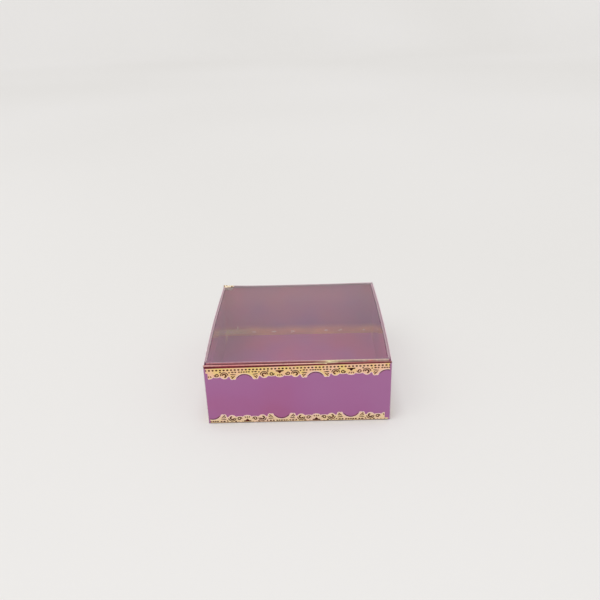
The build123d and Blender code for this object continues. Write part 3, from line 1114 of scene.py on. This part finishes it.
# The lid does not close quite flat: its front edge stands up a little, most at the left,
# and so do the two ends of its back crease
lid = {
    "corner": 1.2,
    "backEdge": 49.8,  # short of the crease, so that the opened lid clears the back wall
    "frontRows": (0, 0.08, 0.25, 0.5, 0.8, 1.2),  # close rows round the front corners
    "gridFrom": -46.0,  # and even rows from here
    "across": 48,
    "along": 48,
    "bow": 0.82,
    "lift": 0.4,
    "leftLift": 0.2,
    "leftFrom": 20.0,  # the left lift grows over leftRun from here
    "leftRun": 40.0,
    "backLift": 0.28,
    "backFade": 8,  # how fast the back's rise dies away towards the front
    "endLift": 0.5,
    "endPower": 3,
    "leftEndLift": 0.8,
    "leftEndPower": 4,
}


def backRise(x):
    # The back crease stands up towards its two ends
    share = x / box["bowHalf"]
    if x > 0:
        return lid["backLift"] + lid["endLift"] * share ** lid["endPower"]
    return lid["backLift"] + lid["leftEndLift"] * share ** lid["leftEndPower"]


def sideBow(y):
    # The lid's side edges follow the bowed walls
    return lid["bow"] * max(1 - (y / box["bowHalf"]) ** 2, 0.0)


def lidLift(x, y):
    forward = min(max((box["hinge"] - y) / (box["hinge"] - box["lidFront"]), 0.0), 1.0)
    left = min(max((lid["leftFrom"] - x) / lid["leftRun"], 0.0), 1.0)
    front = (lid["lift"] + lid["leftLift"] * left * left * (3 - 2 * left)) * forward ** 2
    return front + backRise(x) * (1 - forward) ** lid["backFade"]


def plate(name, rows, place, material, body):
    # A closed sheet from rows of (distance down, left end, right end), between its two faces
    mesh = bmesh.new()
    count = lid["across"]
    faces = []
    for out in (-0.5, 0.5):
        grid = []
        for down, start, end in rows:
            line = [place(x, down, out * box["sheet"]) for x in steps(start, end, count)]
            grid.append([mesh.verts.new(point) for point in line])
        faces.append(grid)
    for grid, flip in ((faces[0], False), (faces[1], True)):
        for upper, lower in zip(grid, grid[1:]):
            for i in range(count):
                quad = (upper[i], upper[i + 1], lower[i + 1], lower[i])
                mesh.faces.new(quad[::-1] if flip else quad)
    under, over = faces
    rim = [(0, i) for i in range(count)] + [(r, count) for r in range(len(rows) - 1)]
    rim += [(len(rows) - 1, i) for i in range(count, 0, -1)] + [(r, 0) for r in range(len(rows) - 1, 0, -1)]
    for (r0, c0), (r1, c1) in zip(rim, rim[1:] + rim[:1]):
        mesh.faces.new((under[r0][c0], over[r0][c0], over[r1][c1], under[r1][c1]))
    return finishPiece(name, mesh, material, body)


def strip(name, profile, stations, place, material, body=None):
    # A closed bar with that cross-section, run through stations along the crease
    mesh = bmesh.new()
    rings = [[mesh.verts.new(place(s, a, b)) for a, b in profile] for s in stations]
    count = len(profile)
    for first, second in zip(rings, rings[1:]):
        for i in range(count):
            j = (i + 1) % count
            mesh.faces.new((first[i], first[j], second[j], second[i]))
    mesh.faces.new(rings[0][::-1])
    mesh.faces.new(rings[-1])
    return finishPiece(name, mesh, material, body, True)


lidRows = []
frontPlaces = [box["lidFront"] + d for d in lid["frontRows"]]
for y in frontPlaces + steps(lid["gridFrom"], lid["backEdge"], lid["along"]):
    short = max(lid["corner"] - (y - box["lidFront"]), 0.0)
    rounded = math.sqrt(max(lid["corner"] ** 2 - short ** 2, 0.0))
    half = box["lidHalf"] - lid["corner"] + rounded + sideBow(y)
    lidRows.append((y, -half, half))


def onLid(x, y, out):
    return Vector((x, y, (box["lidUnder"] + box["lidTop"]) / 2 + out + lidLift(x, y))) * mm


lidPiece = plate("lidWindow", lidRows, onLid, clearPvc, "lid")
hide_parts("lid_window")

# The tuck flap hangs from the front crease and leans in
flap = {
    "depth": 15.0,
    "inset": 2.0,  # from the lid's side edge
    "taper": 2.5,
    "corner": 5.0,
    "lean": math.radians(6),
    "rows": 24,
    "bow": 0.25,
}
flapRows = []
for down in steps(0.0, flap["depth"], flap["rows"]):
    half = box["lidHalf"] - flap["inset"] - flap["taper"] * down / flap["depth"]
    low = max(down - flap["depth"] + flap["corner"], 0.0)
    half -= flap["corner"] - math.sqrt(flap["corner"] ** 2 - low ** 2)
    flapRows.append((down, -half, half))


def onFlap(x, down, out):
    y = box["flapCrease"] + down * math.sin(flap["lean"]) - out * math.cos(flap["lean"])
    z = box["creaseHeight"] - down * math.cos(flap["lean"]) - out * math.sin(flap["lean"])
    bow = flap["bow"] * (1 - (x / box["bowHalf"]) ** 2) * (down / flap["depth"]) ** 2
    return Vector((x, y + bow, z + lidLift(x, box["flapCrease"]))) * mm


flapPiece = plate("tuckFlap", flapRows, onFlap, wineRedCoat, "front_flap")
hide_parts("tuck_flap")

# The lips hang inside the side walls, mitred so that they clear the flap
lip = {
    "depth": 10.0,
    "setback": 4.0,  # from the flap's crease
    "corner": 1.5,
    "cornerDraw": 0.6,  # on the mitre's slope a corner's round draws in by this share
    "lean": math.radians(3),
    "rows": 16,
}
lipRows = []
for down in steps(0.0, lip["depth"], lip["rows"]):
    low = max(down - lip["depth"] + lip["corner"], 0.0)
    rounded = lip["corner"] - math.sqrt(lip["corner"] ** 2 - low ** 2)
    half = -box["flapCrease"] - lip["setback"] - down - rounded * lip["cornerDraw"]
    lipRows.append((down, -half, half))

for side, way in (("left", -1), ("right", 1)):
    def onLip(along, down, out):
        x = box["lipCrease"] - down * math.sin(lip["lean"]) + out * math.cos(lip["lean"])
        z = box["creaseHeight"] - down * math.cos(lip["lean"]) - out * math.sin(lip["lean"])
        return Vector((way * x, along, z + lidLift(way * x, along))) * mm

    lipPiece = plate(f"lidLip{side.capitalize()}", lipRows, onLip, clearPvc, f"{side}_lip")
    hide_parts(f"lid_lip_{side}")

# Creases: the strained sheet that joins the lid to the flap, the lips and the back wall.
# A line is the middle of the sheet across the crease: distance from the box's middle, and height.
creases = {
    "frontEdge": {
        "line": ((-49.3, 38.4), (-49.5, 38.42), (-49.7, 38.38)),
        "width": 0.26,
        "run": (-49.6, 49.6, 50),  # both ends and how many steps
    },
    "front": {
        "line": ((-49.66, 38.25), (-49.74, 38.0), (-49.76, 37.7), (-49.74, 37.4), (-49.68, 37.2)),
        "width": 0.34,
        "run": (-49.5, 49.5, 50),
    },
    "side": {
        "line": (
            (49.2, 38.4), (49.7, 38.42), (50.1, 38.4), (50.22, 38.22), (50.03, 38.0), (49.97, 37.82),
            (49.86, 37.62),
        ),
        "width": 0.34,
        "run": (-48.4, 49.4, 44),
    },
    "grooveShade": {
        "line": ((48.6, 38.57), (48.75, 38.57), (48.9, 38.57)),
        "width": 0.06,
        "run": (-46.5, 49.5, 40),
    },
    "back": {
        "line": (
            (49.6, 38.37), (50.2, 38.37), (50.55, 38.36), (50.8, 38.22), (50.84, 37.95), (50.83, 37.6),
        ),
        "width": 0.4,
        "run": (-50.6, 50.6, 40),
    },
}
creases["gold"] = {**creases["back"], "width": 0.52, "run": (-50.55, -44.2, 12)}  # wraps the back crease
backFoot = 37.6  # the back crease leaves the wall at this height
backReach = 0.7  # and lifts with the lid over this one


def creaseStrip(name, kind, place, material, body=None):
    crease = creases[kind]
    return strip(name, ribbon(crease["line"], crease["width"]), steps(*crease["run"]), place,
                 material, body)


def onFrontCrease(x, y, z):
    return Vector((x, y, z + lidLift(x, y))) * mm


creaseStrip("lidFrontEdge", "frontEdge", onFrontCrease, creaseHighlight, "lid")
frontCrease = creaseStrip("lidFrontCrease", "front", onFrontCrease, turnCrease)
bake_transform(frontCrease)

for side, way in (("left", -1), ("right", 1)):
    def onSideCrease(y, x, z):
        return Vector((way * (x + sideBow(y)), y, z + lidLift(way * x, y))) * mm

    piece = creaseStrip(f"lidCrease{side.capitalize()}", "side", onSideCrease, sideCreaseHighlight)
    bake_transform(piece)
    creaseStrip(f"lidGrooveShade{side.capitalize()}", "grooveShade", onSideCrease, grooveShade, "lid")


def onBackCrease(x, y, z):
    share = min(max((z - backFoot) / backReach, 0.0), 1.0)
    return Vector((x, y, z + share * backRise(x))) * mm


backCrease = creaseStrip("lidBackCrease", "back", onBackCrease, backPale)
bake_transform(backCrease)
# The gold of the lace runs over the crease's left end, with painted glints there
goldEnd = creaseStrip("lidBackCreaseGold", "gold", onBackCrease, crackedGold)
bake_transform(goldEnd)

# A painted glint in the same gold on the lid's back left corner, narrower towards its right end
patchOnLid = {
    "start": -49.7,
    "end": -43.6,
    "count": 12,
    "near": 47.4,
    "far": 49.9,
    "rows": 6,
    "draw": 0.75,
    "height": 38.58,
    "thickness": 0.04,
}


def onLidPatch(x, y, z):
    share = (x - patchOnLid["start"]) / (patchOnLid["end"] - patchOnLid["start"])
    reach = (patchOnLid["far"] - y) * (1 - patchOnLid["draw"] * share ** 2)
    return Vector((x, patchOnLid["far"] - reach, z + lidLift(x, patchOnLid["far"] - reach))) * mm


patchPlaces = steps(patchOnLid["near"], patchOnLid["far"], patchOnLid["rows"])
patchProfile = ribbon([(y, patchOnLid["height"]) for y in patchPlaces], patchOnLid["thickness"])
patchStations = steps(patchOnLid["start"], patchOnLid["end"], patchOnLid["count"])
strip("glintOnLidCorner", patchProfile, patchStations, onLidPatch, crackedGold, "lid")
print("lid made")

# Cut edges and corner folds of the tray: painted highlights where they catch the light, on sheet a little
# whitened where it was strained
edges = {
    "proud": 0.03,  # how far these pale strips stand over the sheet
    "bevel": 0.08,
    "rim": (37.45, 38.12),  # lower and upper height of the painted highlight on the front rim
    "rimRight": (37.98, 38.14),
    "rimHalf": 50.9,
    "rimEnd": 16.0,  # to the right of this only the very edge carries the painted highlight
    "rimGap": 0.02,
    "rimSteps": 34,
    "rimRightSteps": 20,
    "narrowing": 0.55,  # how much narrower the front rim's painted highlight is where it ends
    # On a side wall: the brink of the ink, the clear margin over it painted pale with the light it reflects,
    # and the cut rim with its painted highlight, with their heights
    "bands": ((36.0, 36.3, "Brink"), (36.3, 37.72, "Margin"), (37.72, 38.12, "RimHighlight")),
    "bandRun": (-49.9, 49.9, 40),
    "corner": (  # round the outside of a wall's end, from one face to the other
        (0.03, -0.3), (0.03, -0.06), (-0.06, 0.03), (-0.3, 0.03), (-0.3, -0.04), (-0.1, -0.1), (-0.04, -0.3),
    ),
    "cornerRun": (0.6, 37.95, 16),
}


def rimProfile(low, high):
    inner, outer = -box["sheet"] - edges["proud"], edges["proud"]
    shoulder, bevel = high - edges["bevel"], edges["bevel"]
    return [
        (outer, low), (outer, shoulder), (outer - bevel, high), (inner + bevel, high), (inner, shoulder),
        (inner, low),
    ]


def onFrontRim(along, out, up):
    share = 0.0
    if along <= edges["rimEnd"]:
        share = min((along + box["half"]) / (edges["rimEnd"] + box["half"]), 1.0)
    high = edges["rim"][1]
    return wallPoint("front", along, high - (high - up) * (1 - edges["narrowing"] * share), out)


leftPart = steps(-edges["rimHalf"], edges["rimEnd"], edges["rimSteps"])
rightPart = steps(edges["rimEnd"] + edges["rimGap"], edges["rimHalf"], edges["rimRightSteps"])
strip("rimFront", rimProfile(*edges["rim"]), leftPart, onFrontRim, cutEdgeHighlight, "tray")
strip("rimFrontRight", rimProfile(*edges["rimRight"]), rightPart, onFrontRim, cutEdgeHighlight,
      "tray")
finishes = {"Brink": brink, "Margin": marginReflection, "RimHighlight": rimHighlight}
for wall in ("left", "right"):
    def onSideRim(along, out, up):
        return wallPoint(wall, along, up, out)

    for low, high, part in edges["bands"]:
        strip(f"side{part}{wall.capitalize()}", rimProfile(low, high), steps(*edges["bandRun"]), onSideRim,
              finishes[part], "tray")

# Painted highlight down the outside of each corner fold
for row, wayY in (("Front", -1), ("Back", 1)):
    for side, wayX in (("Left", -1), ("Right", 1)):
        def onCorner(up, a, b):
            return Vector((wayX * (box["half"] + a), wayY * (box["half"] + b), up)) * mm

        strip(f"corner{row}{side}", edges["corner"], steps(*edges["cornerRun"]), onCorner,
              cornerHighlight, "tray")

# The side walls: bowed sheets in place of the flat ones
sideSheet = {
    "half": 49.9,
    "columns": range(-45, 45, 10),  # where the columns and rows start in which the sheet bends
    "rows": range(4, 36, 8),
    "row": 4,
    # Close rows round the pressed fold, the last of them under the box
    "footRows": ((0.0, 0.12), (0.12, 0.25), (0.25, 0.38), (0.38, 0.5), (-0.14, 0.0)),
}
for wall in ("left", "right"):
    half = sideSheet["half"]
    panel = [(block(-half, half, 0.0, box["height"]), True)]
    panel += [(block(a, a + columnWidth, 0.0, box["height"]), True) for a in sideSheet["columns"]]
    panel += [(block(-half, half, a, a + sideSheet["row"]), True) for a in sideSheet["rows"]]
    panel += [(block(-half, half, a, b), True) for a, b in sideSheet["footRows"]]
    piece = layer(f"{wall}WallSheet", [panel], bool, partial(wallPoint, wall), (-box["sheet"], 0.0),
                  clearPvc)
    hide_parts(f"{wall}_wall")

# CAD pieces that stay as they are, with their own finish
for name, piece in nodes.items():
    if name == "floor_panel":
        piece.data.materials.clear()
        piece.data.materials.append(purpleFloor)
    elif name.endswith("_wall") or name.startswith("glue_tab"):
        piece.data.materials.clear()
        piece.data.materials.append(clearPvc)
print("edges made")

# Studio: a pale card floor that sweeps up behind the box, in soft even light. Lengths are in metres.
studio = {
    "cardHues": [(0.3, "#e9e7e4"), (0.7, "#eeecea")],
    "grain": 0.9,
    "grainDetail": 1.0,
    "evenNear": 0.15,  # how much of the card's brightness shadows leave alone, beside the box
    "evenShare": 0.58,  # and from evenFrom on
    "evenFrom": 0.011,
    "width": 9.0,
    "front": -3.0,
    "back": 2.2,
    "floor": -0.00005,  # just under the box's foot
    "radius": 0.9,
    "turn": range(5, 91, 5),  # degrees round the sweep
    "top": 3.6,
    "world": 0.86,
    "worldColour": "#ffffff",
    "worldSeen": "#ebe9e6",  # what the camera and mirrors see of the room: the card's tone
    "keyPlace": (-0.75, -0.5, 1.3),
    "keySize": 0.9,
    "keyPower": 5.0,
}


def looksAt(tree):
    # 1 for rays from the camera, from a mirroring face or through a clear one, which see; 0 for light's
    path = addNode(tree, "ShaderNodeLightPath").outputs
    seen = addNode(tree, "ShaderNodeMath", {
        0: path["Is Camera Ray"], 1: path["Is Glossy Ray"],
    }, operation="MAXIMUM")
    return addNode(tree, "ShaderNodeMath", {
        0: seen.outputs[0], 1: path["Is Transmission Ray"],
    }, operation="MAXIMUM").outputs[0]


# Matt card, rolled smooth: pale and even, with a trace of warmth
cardMaterial, tree, output, place = startMaterial("paleStudioCard")
grain = addNode(tree, "ShaderNodeTexNoise", {
    "Vector": place, "Scale": 1 / studio["grain"], "Detail": studio["grainDetail"],
})
tone = addNode(tree, "ShaderNodeValToRGB", {"Fac": grain.outputs["Fac"]}, studio["cardHues"])
card = addNode(tree, "ShaderNodeBsdfDiffuse", {"Color": tone.outputs["Color"]})
own = addNode(tree, "ShaderNodeEmission", {"Color": tone.outputs["Color"], "Strength": 1.0})
# Near the box the card is left to its own shading, so that the box's shadow lies on it
wallPlace = (box["half"] * mm, box["half"] * mm, 0)
aside = addNode(tree, "ShaderNodeVectorMath", {0: place}, operation="ABSOLUTE")
aside = addNode(tree, "ShaderNodeVectorMath", {0: aside.outputs[0], 1: wallPlace}, operation="SUBTRACT")
aside = addNode(tree, "ShaderNodeVectorMath", {0: aside.outputs[0], 1: (0, 0, 0)}, operation="MAXIMUM")
aside = addNode(tree, "ShaderNodeVectorMath", {0: aside.outputs[0]}, operation="LENGTH")
even = addNode(tree, "ShaderNodeMapRange", {
    "Value": aside.outputs["Value"], "From Max": studio["evenFrom"],
    "To Min": studio["evenNear"], "To Max": studio["evenShare"],
})
share = addNode(tree, "ShaderNodeMath", {
    0: looksAt(tree), 1: even.outputs["Result"],
}, operation="MULTIPLY")
mixed = addNode(tree, "ShaderNodeMixShader", {0: share.outputs[0], 1: card.outputs[0], 2: own.outputs[0]})
tree.links.new(mixed.outputs[0], output.inputs["Surface"])

mesh = bmesh.new()
line = [(studio["front"], studio["floor"]), (studio["back"], studio["floor"])]
for degrees in studio["turn"]:
    turn = math.radians(degrees)
    line.append((studio["back"] + studio["radius"] * math.sin(turn), studio["radius"] * (1 - math.cos(turn))))
line.append((studio["back"] + studio["radius"], studio["top"]))
sides = [[mesh.verts.new((way * studio["width"] / 2, y, z)) for y, z in line] for way in (-1, 1)]
for i in range(len(line) - 1):
    mesh.faces.new((sides[0][i], sides[1][i], sides[1][i + 1], sides[0][i + 1]))
data = bpy.data.meshes.new("studioSweep")
mesh.to_mesh(data)
mesh.free()
for face in data.polygons:
    face.use_smooth = True
data.materials.append(cardMaterial)
sweep = bpy.data.objects.new("studioSweep", data)
bpy.context.scene.collection.objects.link(sweep)

# The room: even white light from all sides
world = bpy.data.worlds.new("softRoom")
bpy.context.scene.world = world
world.use_nodes = True
tree = world.node_tree
tree.nodes.clear()
light = addNode(tree, "ShaderNodeBackground", {
    "Color": toLinear(studio["worldColour"]), "Strength": studio["world"],
})
card = addNode(tree, "ShaderNodeBackground", {"Color": toLinear(studio["worldSeen"]), "Strength": 1.0})
mixed = addNode(tree, "ShaderNodeMixShader", {0: looksAt(tree), 1: light.outputs[0], 2: card.outputs[0]})
addNode(tree, "ShaderNodeOutputWorld", {"Surface": mixed.outputs[0]})

# A soft light from the front left, above the box
keyData = bpy.data.lights.new("keySoftbox", "AREA")
keyData.shape = "SQUARE"
keyData.size = studio["keySize"]
keyData.energy = studio["keyPower"]
key = bpy.data.objects.new("keySoftbox", keyData)
key.location = studio["keyPlace"]
key.rotation_euler = (-Vector(studio["keyPlace"])).to_track_quat("-Z", "Y").to_euler()
bpy.context.scene.collection.objects.link(key)

# Camera at the photograph's place, worked out from the box's corners: millimetres and degrees
view = {
    "place": (6.73, -347.6, 218.7),
    "yaw": -0.82,
    "pitch": 25.68,
    "roll": -1.74,
    "lens": 38.51,
    "sensor": 36.0,
    "near": 10.0,
    "far": 50000.0,
}
yaw, pitch, roll = (math.radians(view[k]) for k in ("yaw", "pitch", "roll"))
ahead = Vector((math.sin(yaw) * math.cos(pitch), math.cos(yaw) * math.cos(pitch), -math.sin(pitch)))
level = Vector((math.cos(yaw), -math.sin(yaw), 0))
upright = level.cross(ahead)
right = math.cos(roll) * level + math.sin(roll) * upright
up = -math.sin(roll) * level + math.cos(roll) * upright
lensData = bpy.data.cameras.new("photoCamera")
lensData.sensor_width = view["sensor"]
lensData.lens = view["lens"]
lensData.clip_start = view["near"] * mm
lensData.clip_end = view["far"] * mm
camera = bpy.data.objects.new("photoCamera", lensData)
turned = Matrix((right, up, -ahead)).transposed().to_4x4()
camera.matrix_world = Matrix.Translation(Vector(view["place"]) * mm) @ turned
bpy.context.scene.collection.objects.link(camera)
bpy.context.scene.camera = camera
bpy.context.scene.view_settings.view_transform = "Standard"
bpy.context.scene.cycles.transparent_max_bounces = 32  # many thin clear layers lie over each other
print("studio made")
